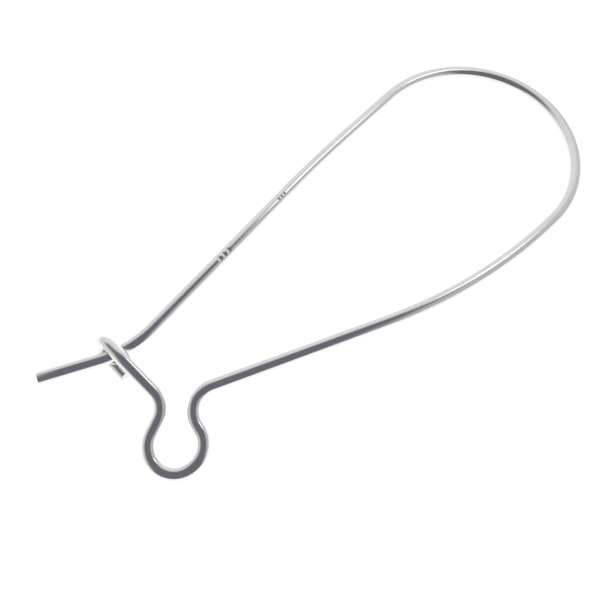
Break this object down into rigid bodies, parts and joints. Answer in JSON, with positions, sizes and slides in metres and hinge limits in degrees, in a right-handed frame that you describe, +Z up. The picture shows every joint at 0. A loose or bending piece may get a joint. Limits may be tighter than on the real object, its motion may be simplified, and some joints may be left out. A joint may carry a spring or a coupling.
{
  "type": "kidney ear wire",
  "caption": "Kidney ear wire: one round silver wire bent into a long loop, with a loop for a bead or drop, and a hook that latches the straight post.",
  "frame": {"origin": "middle of the plan's outline, on the surface that the wire lies on", "axes": "+X along the wire from the hook and bead loop to the arch, +Y across it towards the back leg, +Z up from the surface"},
  "size_m": [0.0388, 0.0154, 0.0027],
  "materials": {
    "silver_wire": "polished silver, lightly drawn along the wire"
  },
  "bodies": {
    "root": {"ear_wire": "silver_wire"}
  },
  "joints": []
}
